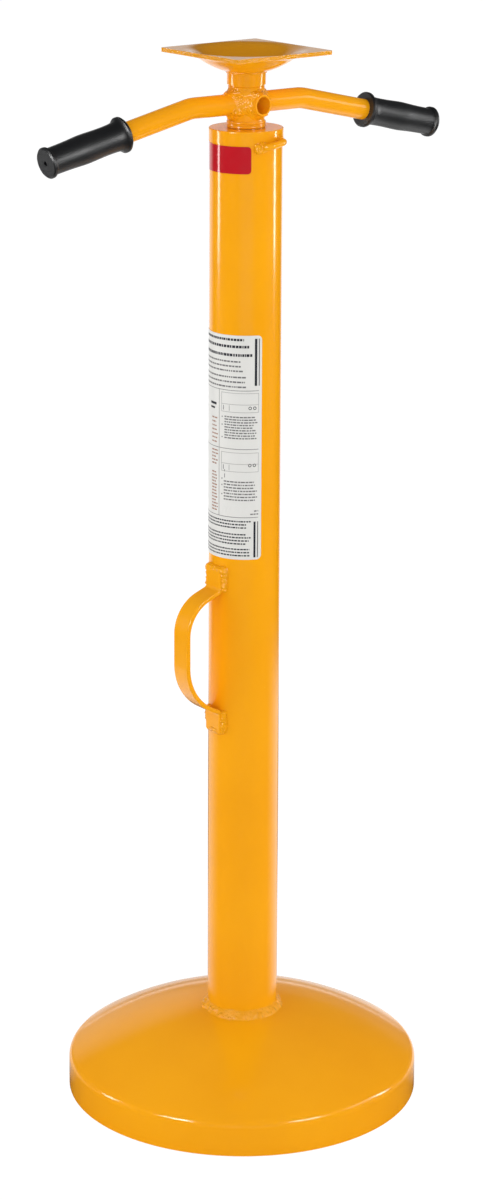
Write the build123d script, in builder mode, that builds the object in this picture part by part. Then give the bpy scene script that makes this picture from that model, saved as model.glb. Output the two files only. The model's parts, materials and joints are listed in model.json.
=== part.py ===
from build123d import *
import math
import os

os.makedirs("parts", exist_ok=True)

# A trailer stabilizing stand: a steel column on a pressed round base, with a hand-turned screw
# that raises a dished square plate. All sizes are in millimetres. The origin is on the floor at
# the column's axis, +Z is up, and the turning arms lie along X when the screw is fully down.

# Column, its foot plate and its cap
column_od = 76.2
column_wall = 4.8
column_length = 1042.7
foot_plate_thickness = 6.0
foot_plate_overhang = 7.0
cap_od = 77.8
cap_thickness = 14.0
cap_edge_round = 1.0

# Pressed base dish
dish_od = 381.0
dish_height = 92.0
dish_crown_radius = 349.0
dish_corner_radius = 9.0
dish_sheet = 4.0
dish_hole_clearance = 0.3
base_weld_leg = 6.5
base_weld_height = 8.0

# Lifting screw, nut and end stop
screw_od = 38.1
screw_end_chamfer = 2.0
screw_lead = 6.35
lift_turns = 46
nut_length = 45.0
nut_clearance = 0.08
nut_tube_clearance = 0.2
cap_bore_clearance = 0.6
stop_gap = 0.3
stop_washer_od = 58.0
stop_washer_thickness = 6.0
bolt_diameter = 10.0
bolt_grip = 20.0
bolt_head_flats = 17.0
bolt_head_height = 6.4
bolt_clearance = 0.5

# Hub at the screw's top, its collar and the swivel stud
collar_gap = 0.3
collar_od = 41.0
collar_height = 7.0
collar_groove_depth = 0.5
collar_bead_radius = 1.4
hub_height = 43.1
stud_diameter = 25.4
stud_height = 10.4
stud_groove_depth = 1.6
stud_groove_width = 3.4
running_clearance = 0.05
press_clearance = 0.02

# Turning arms, cross tube and grips
arm_height_above_cap = 24.9
arm_od = 22.2
arm_wall = 2.4
arm_bend_reach = 70.5
arm_bend_radius = 45.0
arm_droop = 13.0
arm_weld_leg = 5.0
arm_weld_reach = 27.0
grip_start_reach = 154.0
grip_end_reach = 247.3
grip_end_wall = 5.0
grip_flange_radius = 18.9
grip_flange_thickness = 3.4
grip_flare_length = 15.0
grip_neck_radius = 14.8
grip_belly_radius = 15.3
grip_waist_radius = 14.2
grip_rim_radius = 16.3
grip_rim_length = 3.4
grip_rim_blend = 2.4
grip_edge_round = 1.4
grip_vent_radius = 2.5
cross_tube_wall = 1.9
cross_tube_reach = 26.0
cross_tube_azimuth = 277.0
cross_weld_leg = 2.6
cross_weld_reach = 23.0

# Thrust washer, swivel socket and dished top plate
thrust_washer_thickness = 1.6
thrust_washer_od = 37.0
socket_od = 40.4
socket_height = 10.7
socket_pin_diameter = 3.0
socket_pin_height = 5.2
socket_pin_azimuth = 53.7
socket_pin_groove_gap = 0.4
socket_weld_leg = 1.6
plate_side = 127.0
plate_thickness = 4.3
plate_corner_round = 3.0
plate_turn = 2.7
bowl_radius = 84.0
bowl_depth = 25.4
bowl_lip_radius = 30.0

# Carry handle: a flat strap in the plane of the arms, bowed out on the -X side
strap_width = 25.4
strap_thickness = 4.8
strap_edge_round = 1.6
strap_reach = 83.2
strap_drop_below_top = 452.7
strap_top_leg = 26.3
strap_top_slope = 15.6
strap_grip_length = 101.1
strap_bottom_slope = 17.4
strap_bottom_leg = 22.6
strap_top_radius = 41.0
strap_bottom_radius = 58.0
strap_foot_radius = 6.0
strap_inset = 1.5
handle_weld_leg = 5.0
handle_weld_crest = 1.0
handle_weld_relief = 1.2

# Tether loop below the cap
loop_rod = 7.0
loop_azimuth = 278.0
loop_half_span = 12.0
loop_reach = 48.5
loop_corner_radius = 8.0
loop_drop_below_top = 5.6
loop_rise = 8.0
loop_tilt = 9.0
loop_weld_radius = 6.4

# Stickers, as thin skins on the column
film_thickness = 0.25
film_clearance = 0.05
film_azimuth = 180.0
label_height = 242.0
label_width = 107.9
label_drop_below_top = 199.7
label_corner_radius = 5.0
decal_height = 28.5
decal_width = 82.6
decal_drop_below_top = 1.2
decal_corner_radius = 4.0

# Worked-out sizes
column_radius = column_od / 2
column_top = foot_plate_thickness + column_length
cap_top = column_top + cap_thickness
screw_radius = screw_od / 2
travel = screw_lead * lift_turns
nut_bottom = column_top - nut_length
screw_bottom = nut_bottom - travel - stop_gap
collar_bottom = cap_top + collar_gap
hub_top = collar_bottom + hub_height
arm_z = cap_top + arm_height_above_cap
arm_radius = arm_od / 2
stud_radius = stud_diameter / 2
washer_top = hub_top + thrust_washer_thickness
bowl_bottom = washer_top + socket_height
plate_top = bowl_bottom + bowl_depth
bowl_centre_z = bowl_bottom + bowl_radius
pin_z = washer_top + socket_pin_height
strap_top_z = column_top - strap_drop_below_top
strap_top_bend_z = strap_top_z - strap_top_leg
strap_top_shoulder_z = strap_top_bend_z - strap_top_slope
strap_bottom_shoulder_z = strap_top_shoulder_z - strap_grip_length
strap_bottom_bend_z = strap_bottom_shoulder_z - strap_bottom_slope
strap_bottom_z = strap_bottom_bend_z - strap_bottom_leg
loop_z = column_top - loop_drop_below_top


def radial_plane(azimuth, reach, z):
    """A plane that faces straight out from the axis, with its own y upwards."""
    out_x = math.cos(math.radians(azimuth))
    out_y = math.sin(math.radians(azimuth))
    centre = (reach * out_x, reach * out_y, z)
    return Plane(origin=centre, x_dir=(-out_y, out_x, 0), z_dir=(out_x, out_y, 0))


def crown_z(radius):
    """Height of the base dish's outer face at a distance from the axis."""
    return dish_height - dish_crown_radius + math.sqrt(dish_crown_radius**2 - radius**2)


# Base dish: a domed disc with a turned-down skirt, open underneath
with BuildPart() as base_dish:
    with BuildSketch(Plane.XZ):
        with BuildLine():
            dish_radius = dish_od / 2
            Line((0, 0), (dish_radius, 0))
            Line((dish_radius, 0), (dish_radius, crown_z(dish_radius)))
            RadiusArc((dish_radius, crown_z(dish_radius)), (0, dish_height), -dish_crown_radius)
            Line((0, dish_height), (0, 0))
        make_face()
    revolve(axis=Axis.Z)
    shoulder = base_dish.edges().filter_by(lambda edge: edge.is_closed).sort_by(Axis.Z)[-1]
    fillet(shoulder, radius=dish_corner_radius)
    offset(amount=-dish_sheet, openings=base_dish.faces().sort_by(Axis.Z)[0])
    Cylinder(column_radius + dish_hole_clearance, 2 * dish_height, mode=Mode.SUBTRACT)
base_dish.part.label = "base_dish"
export_step(base_dish.part, "parts/base_dish.step")

# Foot plate: the disc that closes the column's lower end, flush with the dish's rim
with BuildPart() as foot_plate:
    with BuildSketch():
        Circle(column_radius + foot_plate_overhang)
    extrude(amount=foot_plate_thickness)
foot_plate.part.label = "foot_plate"
export_step(foot_plate.part, "parts/foot_plate.step")

# Column: a steel tube that stands on the foot plate
with BuildPart() as column_tube:
    with BuildSketch(Plane.XY.offset(foot_plate_thickness)):
        Circle(column_radius)
        Circle(column_radius - column_wall, mode=Mode.SUBTRACT)
    extrude(amount=column_length)
column_tube.part.label = "column_tube"
export_step(column_tube.part, "parts/column_tube.step")

# Base weld: the fillet between the column and the dish's crown
with BuildPart() as base_weld:
    with BuildSketch(Plane.XZ):
        with BuildLine():
            weld_edge = column_radius + base_weld_leg
            foot_z = crown_z(column_radius)
            Line((column_radius, foot_z), (column_radius, foot_z + base_weld_height))
            Line((column_radius, foot_z + base_weld_height), (weld_edge, crown_z(weld_edge)))
            RadiusArc((weld_edge, crown_z(weld_edge)), (column_radius, foot_z), -dish_crown_radius)
        make_face()
    revolve(axis=Axis.Z)
base_weld.part.label = "base_weld"
export_step(base_weld.part, "parts/base_weld.step")

# Top cap: a ring on the column's top with room for the screw
with BuildPart() as top_cap:
    with BuildSketch(Plane.XY.offset(column_top)):
        Circle(cap_od / 2)
        Circle(screw_radius + cap_bore_clearance, mode=Mode.SUBTRACT)
    extrude(amount=cap_thickness)
    cap_edges = top_cap.faces().sort_by(Axis.Z)[-1].edges()
    fillet(cap_edges.sort_by(SortBy.RADIUS)[-1], radius=cap_edge_round)
top_cap.part.label = "top_cap"
export_step(top_cap.part, "parts/top_cap.step")

# Lift nut: the long nut under the cap, inside the column
with BuildPart() as lift_nut:
    with BuildSketch(Plane.XY.offset(nut_bottom)):
        Circle(column_radius - column_wall - nut_tube_clearance)
        Circle(screw_radius + nut_clearance, mode=Mode.SUBTRACT)
    extrude(amount=nut_length)
lift_nut.part.label = "lift_nut"
export_step(lift_nut.part, "parts/lift_nut.step")

# Carry handle: a strap swept along a bow, its two ends saddled on the column
strap_foot = column_radius - strap_inset + strap_thickness / 2
strap_middle = strap_reach - strap_thickness / 2
with BuildPart() as carry_handle:
    with BuildLine() as bow:
        FilletPolyline(
            (-strap_foot, 0, strap_top_z),
            (-strap_foot, 0, strap_top_bend_z),
            (-strap_middle, 0, strap_top_shoulder_z),
            (-strap_middle, 0, strap_bottom_shoulder_z),
            (-strap_foot, 0, strap_bottom_bend_z),
            (-strap_foot, 0, strap_bottom_z),
            radius=[strap_foot_radius, strap_top_radius, strap_bottom_radius, strap_foot_radius],
        )
    with BuildSketch(Plane(origin=(-strap_foot, 0, strap_top_z), z_dir=(0, 0, -1))):
        RectangleRounded(strap_thickness, strap_width, strap_edge_round)
    sweep(path=bow.line)
    add(Cylinder(column_radius, 2 * column_top, mode=Mode.PRIVATE), mode=Mode.SUBTRACT)
carry_handle.part.label = "carry_handle"
export_step(carry_handle.part, "parts/carry_handle.step")

# Handle welds: a sloped bead round each end of the strap
bead_face = column_radius - strap_inset + strap_thickness - handle_weld_relief
bead_half_width = strap_width / 2 + handle_weld_crest + handle_weld_leg
bead_depth = bead_face - math.sqrt(column_radius**2 - bead_half_width**2)
bead_slope = math.degrees(math.atan2(handle_weld_leg, bead_depth))
with BuildPart() as handle_welds:
    for low_z, high_z in (
        (strap_bottom_z - handle_weld_crest, strap_bottom_bend_z),
        (strap_top_bend_z, strap_top_z + handle_weld_crest),
    ):
        with BuildSketch(Plane(origin=(-bead_face, 0, (low_z + high_z) / 2), z_dir=(1, 0, 0))):
            RectangleRounded(strap_width + 2 * handle_weld_crest, high_z - low_z, handle_weld_leg)
        extrude(amount=bead_depth, taper=-bead_slope)
    add(Cylinder(column_radius, 2 * column_top, mode=Mode.PRIVATE), mode=Mode.SUBTRACT)
    add(carry_handle.part, mode=Mode.SUBTRACT)
handle_welds.part.label = "handle_welds"
export_step(handle_welds.part, "parts/handle_welds.step")

# Tether loop: a rod staple for a chain, welded to the column just below the cap
loop_turn = Rot(0, 0, loop_azimuth) * Rot(0, -loop_rise, 0) * Rot(loop_tilt, 0, 0)
loop_plane = Plane(Pos(0, 0, loop_z) * loop_turn)
with BuildPart() as tether_loop:
    with BuildLine(loop_plane) as staple:
        leg_start = column_radius / 2
        FilletPolyline(
            (leg_start, -loop_half_span),
            (loop_reach, -loop_half_span),
            (loop_reach, loop_half_span),
            (leg_start, loop_half_span),
            radius=loop_corner_radius,
        )
    with BuildSketch(Plane(origin=staple.line @ 0, z_dir=staple.line % 0)):
        Circle(loop_rod / 2)
    sweep(path=staple.line)
    add(Cylinder(column_radius, 2 * column_top, mode=Mode.PRIVATE), mode=Mode.SUBTRACT)
    add(top_cap.part, mode=Mode.SUBTRACT)
tether_loop.part.label = "tether_loop"
export_step(tether_loop.part, "parts/tether_loop.step")

# Tether loop welds: a blob at each foot of the staple
with BuildPart() as tether_loop_welds:
    foot_x = math.sqrt(column_radius**2 - loop_half_span**2)
    for foot_y in (-loop_half_span, loop_half_span):
        blob_centre = loop_plane.from_local_coords((foot_x, foot_y, 0))
        with Locations(blob_centre):
            Sphere(loop_weld_radius)
    add(Cylinder(column_radius, 2 * column_top, mode=Mode.PRIVATE), mode=Mode.SUBTRACT)
    add(top_cap.part, mode=Mode.SUBTRACT)
    add(tether_loop.part, mode=Mode.SUBTRACT)
tether_loop_welds.part.label = "tether_loop_welds"
export_step(tether_loop_welds.part, "parts/tether_loop_welds.step")

# Stickers: thin skins with round corners bent round the column, on the carry handle's side
film_inner = column_radius + film_clearance
for film_name, film_drop, film_height, film_width, film_corner in (
    ("instruction_label", label_drop_below_top, label_height, label_width, label_corner_radius),
    ("red_decal", decal_drop_below_top, decal_height, decal_width, decal_corner_radius),
):
    film_arc = math.degrees(film_width / film_inner)
    film_middle_z = column_top - film_drop - film_height / 2
    with BuildPart() as film:
        with BuildSketch(Plane.XZ):
            with Locations((film_inner, film_middle_z)):
                Rectangle(film_thickness, film_height, align=(Align.MIN, Align.CENTER))
        revolve(axis=Axis.Z, revolution_arc=film_arc)
        for film_end, inward in ((0, 1), (film_arc, -1)):
            with BuildSketch(radial_plane(film_end, 0, film_middle_z)):
                for rise in (-1, 1):
                    with Locations((0, rise * film_height / 2)):
                        Rectangle(2 * film_corner, 2 * film_corner)
                    with Locations((inward * film_corner, rise * (film_height / 2 - film_corner))):
                        Circle(film_corner, mode=Mode.SUBTRACT)
            extrude(amount=column_od, mode=Mode.SUBTRACT)
    film_skin = film.part.rotate(Axis.Z, film_azimuth - film_arc / 2)
    film_skin.label = film_name
    export_step(film_skin, f"parts/{film_name}.step")

# Thrust washer: it carries the load between the turning hub and the swivel socket
with BuildPart() as thrust_washer:
    with BuildSketch(Plane.XY.offset(hub_top)):
        Circle(thrust_washer_od / 2)
        Circle(stud_radius + running_clearance, mode=Mode.SUBTRACT)
    extrude(amount=thrust_washer_thickness)
thrust_washer.part.label = "thrust_washer"
export_step(thrust_washer.part, "parts/thrust_washer.step")

# Lift screw: one bar with the thread below, the plain hub in the middle and the stud on top
with BuildPart() as lift_screw:
    with BuildSketch(Plane.XY.offset(screw_bottom)):
        Circle(screw_radius)
    extrude(amount=hub_top - screw_bottom)
    chamfer(lift_screw.faces().sort_by(Axis.Z)[0].edges(), length=screw_end_chamfer)
    with BuildSketch(Plane.XY.offset(hub_top)):
        Circle(stud_radius)
    extrude(amount=stud_height)
    with BuildSketch(Plane.XY.offset(pin_z - stud_groove_width / 2)):
        Circle(stud_radius)
        Circle(stud_radius - stud_groove_depth, mode=Mode.SUBTRACT)
    extrude(amount=stud_groove_width, mode=Mode.SUBTRACT)
    with BuildSketch(radial_plane(cross_tube_azimuth, -screw_od, arm_z)):
        Circle(arm_radius + press_clearance)
    extrude(amount=2 * screw_od, mode=Mode.SUBTRACT)
    with BuildSketch(Plane.XY.offset(screw_bottom)):
        Circle(bolt_diameter / 2 + press_clearance)
    extrude(amount=bolt_grip, mode=Mode.SUBTRACT)
lift_screw.part.label = "lift_screw"
export_step(lift_screw.part, "parts/lift_screw.step")

# Stop collar: a two-ridged ring on the hub that comes down on the cap
with BuildPart() as stop_collar:
    with BuildSketch(Plane.XY.offset(collar_bottom)):
        Circle(collar_od / 2 - collar_groove_depth)
        Circle(screw_radius + press_clearance, mode=Mode.SUBTRACT)
    extrude(amount=collar_height)
    with BuildSketch(Plane.XZ):
        ridge_x = collar_od / 2 - collar_bead_radius
        ridge_low = collar_bottom + collar_bead_radius
        ridge_high = collar_bottom + collar_height - collar_bead_radius
        with Locations((ridge_x, ridge_low), (ridge_x, ridge_high)):
            Circle(collar_bead_radius)
        Rectangle(2 * (screw_radius + press_clearance), 4 * cap_top, mode=Mode.SUBTRACT)
    revolve(axis=Axis.Z)
stop_collar.part.label = "stop_collar"
export_step(stop_collar.part, "parts/stop_collar.step")

# End stop: a washer and a bolt on the screw's lower end, wider than the nut's bore
with BuildPart() as stop_washer:
    with BuildSketch(Plane.XY.offset(screw_bottom - stop_washer_thickness)):
        Circle(stop_washer_od / 2)
        Circle((bolt_diameter + bolt_clearance) / 2, mode=Mode.SUBTRACT)
    extrude(amount=stop_washer_thickness)
stop_washer.part.label = "stop_washer"
export_step(stop_washer.part, "parts/stop_washer.step")

bolt_seat = screw_bottom - stop_washer_thickness
with BuildPart() as stop_bolt:
    with BuildSketch(Plane.XY.offset(bolt_seat - bolt_head_height)):
        RegularPolygon(bolt_head_flats / 2, 6, major_radius=False)
    extrude(amount=bolt_head_height)
    with BuildSketch(Plane.XY.offset(bolt_seat)):
        Circle(bolt_diameter / 2)
    extrude(amount=stop_washer_thickness + bolt_grip)
stop_bolt.part.label = "stop_bolt"
export_step(stop_bolt.part, "parts/stop_bolt.step")

# Cross tube: the socket for a turning bar, through the hub between the arms
with BuildPart() as cross_tube:
    with BuildSketch(radial_plane(cross_tube_azimuth, -cross_tube_reach, arm_z)):
        Circle(arm_radius)
        Circle(arm_radius - cross_tube_wall, mode=Mode.SUBTRACT)
    extrude(amount=2 * cross_tube_reach)
cross_tube.part.label = "cross_tube"
export_step(cross_tube.part, "parts/cross_tube.step")

# Cross tube welds: a sloped ring where each end of the tube leaves the hub
weld_start = screw_radius / 2
along_tube = radial_plane(cross_tube_azimuth, 0, arm_z)
with BuildPart() as cross_tube_welds:
    for side in (-1, 1):
        with BuildSketch(radial_plane(cross_tube_azimuth - 90, 0, 0)):
            with BuildLine():
                Polyline(
                    (side * weld_start, arm_z + arm_radius),
                    (side * cross_weld_reach, arm_z + arm_radius),
                    (side * screw_radius, arm_z + arm_radius + cross_weld_leg),
                    (side * weld_start, arm_z + arm_radius + cross_weld_leg),
                    close=True,
                )
            make_face()
        revolve(axis=Axis(along_tube.origin, along_tube.z_dir))
    add(Cylinder(screw_radius, 2 * hub_top, mode=Mode.PRIVATE), mode=Mode.SUBTRACT)
cross_tube_welds.part.label = "cross_tube_welds"
export_step(cross_tube_welds.part, "parts/cross_tube_welds.step")

# Turning arms: bent tubes coped on the hub, the left one towards -X
arm_end_reach = grip_end_reach - grip_end_wall * math.cos(math.radians(arm_droop))
arm_drop = math.tan(math.radians(arm_droop))
for side, arm_name in ((-1, "arm_left"), (1, "arm_right")):
    with BuildPart() as arm:
        with BuildLine() as bar:
            FilletPolyline(
                (side * screw_radius / 2, 0, arm_z),
                (side * arm_bend_reach, 0, arm_z),
                (side * arm_end_reach, 0, arm_z - (arm_end_reach - arm_bend_reach) * arm_drop),
                radius=arm_bend_radius,
            )
        with BuildSketch(Plane(origin=bar.line @ 0, z_dir=bar.line % 0)):
            Circle(arm_radius)
            Circle(arm_radius - arm_wall, mode=Mode.SUBTRACT)
        sweep(path=bar.line)
        add(Cylinder(screw_radius, 2 * hub_top, mode=Mode.PRIVATE), mode=Mode.SUBTRACT)
    arm.part.label = arm_name
    export_step(arm.part, f"parts/{arm_name}.step")

# Arm welds: a sloped ring round the root of each arm
with BuildPart() as arm_welds:
    for side in (-1, 1):
        with BuildSketch(Plane.XZ):
            with BuildLine():
                Polyline(
                    (side * weld_start, arm_z + arm_radius),
                    (side * arm_weld_reach, arm_z + arm_radius),
                    (side * screw_radius, arm_z + arm_radius + arm_weld_leg),
                    (side * weld_start, arm_z + arm_radius + arm_weld_leg),
                    close=True,
                )
            make_face()
        revolve(axis=Axis((0, 0, arm_z), (1, 0, 0)))
    add(Cylinder(screw_radius, 2 * hub_top, mode=Mode.PRIVATE), mode=Mode.SUBTRACT)
    with BuildSketch(radial_plane(cross_tube_azimuth, -cross_tube_reach, arm_z)):
        Circle(arm_radius)
    extrude(amount=2 * cross_tube_reach, mode=Mode.SUBTRACT)
    add(cross_tube_welds.part, mode=Mode.SUBTRACT)
arm_welds.part.label = "arm_welds"
export_step(arm_welds.part, "parts/arm_welds.step")

# Grips: moulded rubber with a flared guard, a slight belly and a rolled end, over the arm's tip
grip_length = (grip_end_reach - grip_start_reach) / math.cos(math.radians(arm_droop))
grip_bore = arm_radius + running_clearance
for side, grip_name in ((-1, "grip_left"), (1, "grip_right")):
    grip_start = (side * grip_start_reach, 0, arm_z - (grip_start_reach - arm_bend_reach) * arm_drop)
    grip_direction = (side, 0, -arm_drop)
    grip_plane = Plane(origin=grip_start, x_dir=grip_direction, z_dir=(0, 1, 0))
    with BuildPart() as grip:
        with BuildSketch(grip_plane):
            with BuildLine():
                rim_start = grip_length - grip_rim_length
                waist_start = rim_start - grip_rim_blend
                bore_end = grip_length - grip_end_wall
                Line((0, grip_bore), (0, grip_flange_radius - grip_edge_round))
                Line((0, grip_flange_radius - grip_edge_round), (grip_edge_round, grip_flange_radius))
                Line((grip_edge_round, grip_flange_radius), (grip_flange_thickness, grip_flange_radius))
                Spline(
                    (grip_flange_thickness, grip_flange_radius),
                    (grip_flare_length, grip_neck_radius),
                    (grip_length / 2, grip_belly_radius),
                    (waist_start, grip_waist_radius),
                    tangents=((0.6, -1), (1, 0)),
                )
                Spline(
                    (waist_start, grip_waist_radius),
                    (rim_start, grip_rim_radius),
                    tangents=((1, 0), (1, 0)),
                )
                Line((rim_start, grip_rim_radius), (grip_length - grip_edge_round, grip_rim_radius))
                Line(
                    (grip_length - grip_edge_round, grip_rim_radius),
                    (grip_length, grip_rim_radius - grip_edge_round),
                )
                Line((grip_length, grip_rim_radius - grip_edge_round), (grip_length, grip_vent_radius))
                Line((grip_length, grip_vent_radius), (bore_end, grip_vent_radius))
                Line((bore_end, grip_vent_radius), (bore_end, grip_bore))
                Line((bore_end, grip_bore), (0, grip_bore))
            make_face()
        revolve(axis=Axis(grip_start, grip_direction))
    grip.part.label = grip_name
    export_step(grip.part, f"parts/{grip_name}.step")

# Top plate: a square of sheet pressed into a round bowl with a rolled lip
lip_inner_radius = bowl_radius - plate_thickness
lip_outer_radius = bowl_lip_radius + plate_thickness
lip_centre_z = plate_top - lip_outer_radius
lip_span = lip_inner_radius + lip_outer_radius
lip_rise = bowl_centre_z - lip_centre_z
lip_centre_r = math.sqrt(lip_span**2 - lip_rise**2)
bowl_share = lip_inner_radius / lip_span
under_share = bowl_radius / lip_span
lip_join = (lip_centre_r * bowl_share, bowl_centre_z - lip_rise * bowl_share)
under_join = (lip_centre_r * under_share, bowl_centre_z - lip_rise * under_share)
with BuildPart() as top_plate:
    with BuildSketch(Plane.XZ):
        with BuildLine():
            plate_under = plate_top - plate_thickness
            RadiusArc((0, bowl_bottom + plate_thickness), lip_join, -lip_inner_radius)
            RadiusArc(lip_join, (lip_centre_r, plate_top), lip_outer_radius)
            Line((lip_centre_r, plate_top), (plate_side, plate_top))
            Line((plate_side, plate_top), (plate_side, plate_under))
            Line((plate_side, plate_under), (lip_centre_r, plate_under))
            RadiusArc((lip_centre_r, plate_under), under_join, -bowl_lip_radius)
            RadiusArc(under_join, (0, bowl_bottom), bowl_radius)
            Line((0, bowl_bottom), (0, bowl_bottom + plate_thickness))
        make_face()
    revolve(axis=Axis.Z)
    with BuildSketch(Plane.XY.offset(bowl_bottom).rotated((0, 0, plate_turn))):
        RectangleRounded(plate_side, plate_side, plate_corner_round)
    extrude(amount=2 * bowl_depth, mode=Mode.INTERSECT)
top_plate.part.label = "top_plate"
export_step(top_plate.part, "parts/top_plate.step")

# Swivel socket: a collar under the bowl that turns on the hub's stud
with BuildPart() as swivel_socket:
    with BuildSketch(Plane.XY.offset(washer_top)):
        Circle(socket_od / 2)
        Circle(stud_radius + running_clearance, mode=Mode.SUBTRACT)
    extrude(amount=2 * socket_height)
    with BuildSketch(radial_plane(socket_pin_azimuth, 0, pin_z)):
        Circle(socket_pin_diameter / 2 + press_clearance)
    extrude(amount=socket_od, mode=Mode.SUBTRACT)
    with Locations((0, 0, bowl_centre_z)):
        Sphere(bowl_radius, mode=Mode.SUBTRACT)
swivel_socket.part.label = "swivel_socket"
export_step(swivel_socket.part, "parts/swivel_socket.step")

# Socket weld: the fillet between the collar and the bowl's underside
with BuildPart() as socket_weld:
    with BuildSketch(Plane.XZ):
        with BuildLine():
            socket_radius = socket_od / 2
            weld_reach = socket_radius + socket_weld_leg
            socket_top = bowl_centre_z - math.sqrt(bowl_radius**2 - socket_radius**2)
            weld_top = bowl_centre_z - math.sqrt(bowl_radius**2 - weld_reach**2)
            Line((socket_radius, socket_top - socket_weld_leg), (weld_reach, weld_top))
            RadiusArc((weld_reach, weld_top), (socket_radius, socket_top), bowl_radius)
            Line((socket_radius, socket_top), (socket_radius, socket_top - socket_weld_leg))
        make_face()
    revolve(axis=Axis.Z)
socket_weld.part.label = "socket_weld"
export_step(socket_weld.part, "parts/socket_weld.step")

# Retaining pin: it holds the swivel socket on the stud by the stud's groove
with BuildPart() as retaining_pin:
    pin_inner = stud_radius - stud_groove_depth + socket_pin_groove_gap
    with BuildSketch(radial_plane(socket_pin_azimuth, pin_inner, pin_z)):
        Circle(socket_pin_diameter / 2)
    extrude(amount=socket_radius - pin_inner)
retaining_pin.part.label = "retaining_pin"
export_step(retaining_pin.part, "parts/retaining_pin.step")
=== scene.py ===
# A trailer stabilizing stand, dressed for its picture: gloss enamel, weld beads, the cut thread,
# rubber grips, a printed label and a red decal. Lengths are in metres, as in the frame.
import json
import math

import bpy
import numpy as np
from mathutils import Matrix, Vector


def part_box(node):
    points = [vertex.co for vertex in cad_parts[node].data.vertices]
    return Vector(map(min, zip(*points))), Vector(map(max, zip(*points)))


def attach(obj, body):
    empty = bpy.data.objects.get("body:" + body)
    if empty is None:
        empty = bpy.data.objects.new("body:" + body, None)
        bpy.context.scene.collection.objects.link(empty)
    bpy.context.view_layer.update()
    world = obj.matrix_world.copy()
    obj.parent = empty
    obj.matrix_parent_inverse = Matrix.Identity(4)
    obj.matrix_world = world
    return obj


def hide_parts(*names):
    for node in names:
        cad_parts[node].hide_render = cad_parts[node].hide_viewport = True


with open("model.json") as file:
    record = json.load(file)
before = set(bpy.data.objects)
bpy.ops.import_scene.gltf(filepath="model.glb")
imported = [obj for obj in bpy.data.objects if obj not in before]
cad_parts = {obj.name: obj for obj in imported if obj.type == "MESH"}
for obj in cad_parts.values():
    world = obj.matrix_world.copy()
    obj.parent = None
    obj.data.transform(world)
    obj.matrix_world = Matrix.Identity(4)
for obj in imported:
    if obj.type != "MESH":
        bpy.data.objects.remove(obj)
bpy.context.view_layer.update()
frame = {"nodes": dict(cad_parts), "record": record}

mm = 0.001


def nodeBox(name):
    low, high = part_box(name)
    return np.array(low), np.array(high)


# Places read from the frame
columnHigh = nodeBox("column_tube")[1]
labelLow, labelHigh = nodeBox("instruction_label")
screwLow, screwHigh = nodeBox("lift_screw")
collarLow = nodeBox("stop_collar")[0]
washerLow = nodeBox("thrust_washer")[0]
crossLow, crossHigh = nodeBox("cross_tube")
socketHigh = nodeBox("swivel_socket")[1]
strapHigh = nodeBox("carry_handle")[1]
baseWeldLow = nodeBox("base_weld")[0]
handleWeldLow, handleWeldHigh = nodeBox("handle_welds")
socketWeldLow = nodeBox("socket_weld")[0]
boltHigh = nodeBox("stop_bolt")[1]
pinLow, pinHigh = nodeBox("retaining_pin")
columnRadius = columnHigh[0]
screwRadius = screwHigh[0]
armAxisZ = (crossLow[2] + crossHigh[2]) / 2
armRadius = (crossHigh[2] - crossLow[2]) / 2
filmRadius = -labelLow[0]
pinMiddle = (pinLow[2] + pinHigh[2]) / 2
crossAzimuth = 277.0  # degrees: where the cross tube's mouth faces

# Camera

camera = {
    "distance": 3.3404,  # from the column's axis, along the floor
    "height": 1.5693,
    "azimuth": 233.7,  # degrees: where the camera stands
    "pitch": 12.4277,  # degrees down
    "yaw": 0.0485,
    "roll": 0.2744,
    "lens": 97.494,  # for a sensor as long as the picture's long side
    "sensor": 36.0,
    "axisColumn": 247.853,  # where the lens axis meets the picture, in the picture's pixels
    "axisRow": 342.860,
    "columns": 483,
    "rows": 1200,
}


def addCamera(c):
    stand, pitch, yaw, roll = (math.radians(c[k]) for k in ("azimuth", "pitch", "yaw", "roll"))
    heading = stand + math.pi - yaw
    level = math.cos(pitch)
    ahead = np.array([math.cos(heading) * level, math.sin(heading) * level, -math.sin(pitch)])
    right = np.cross(ahead, (0, 0, 1))
    right /= np.linalg.norm(right)
    up = np.cross(right, ahead)
    turn = np.eye(4)
    turn[:3, 0] = right * math.cos(roll) + up * math.sin(roll)
    turn[:3, 1] = up * math.cos(roll) - right * math.sin(roll)
    turn[:3, 2] = -ahead
    turn[:3, 3] = c["distance"] * math.cos(stand), c["distance"] * math.sin(stand), c["height"]
    data = bpy.data.cameras.new("camera")
    data.sensor_width = c["sensor"]
    data.lens = c["lens"]
    data.shift_x = (c["columns"] / 2 - c["axisColumn"]) / c["rows"]
    data.shift_y = (c["axisRow"] - c["rows"] / 2) / c["rows"]
    data.clip_end = 50
    item = bpy.data.objects.new("camera", data)
    item.matrix_world = Matrix(turn.tolist())
    bpy.context.scene.collection.objects.link(item)
    bpy.context.scene.camera = item


addCamera(camera)

# Node helpers

number, colour, vector = "NodeSocketFloat", "NodeSocketColor", "NodeSocketVector"


def addNode(tree, kind, values=None, **settings):
    made = tree.nodes.new(kind)
    for key, value in settings.items():
        setattr(made, key, value)
    for key, value in (values or {}).items():
        made.inputs[key].default_value = value
    return made


def wire(tree, source, output, target, entry):
    tree.links.new(source.outputs[output], target.inputs[entry])


def newGroup(name, entries, results):
    group = bpy.data.node_groups.new(name, "ShaderNodeTree")
    for label, kind, value in entries:
        socket = group.interface.new_socket(label, in_out="INPUT", socket_type=kind)
        socket.default_value = value
    for label, kind in results:
        group.interface.new_socket(label, in_out="OUTPUT", socket_type=kind)
    return group, addNode(group, "NodeGroupInput"), addNode(group, "NodeGroupOutput")


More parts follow.
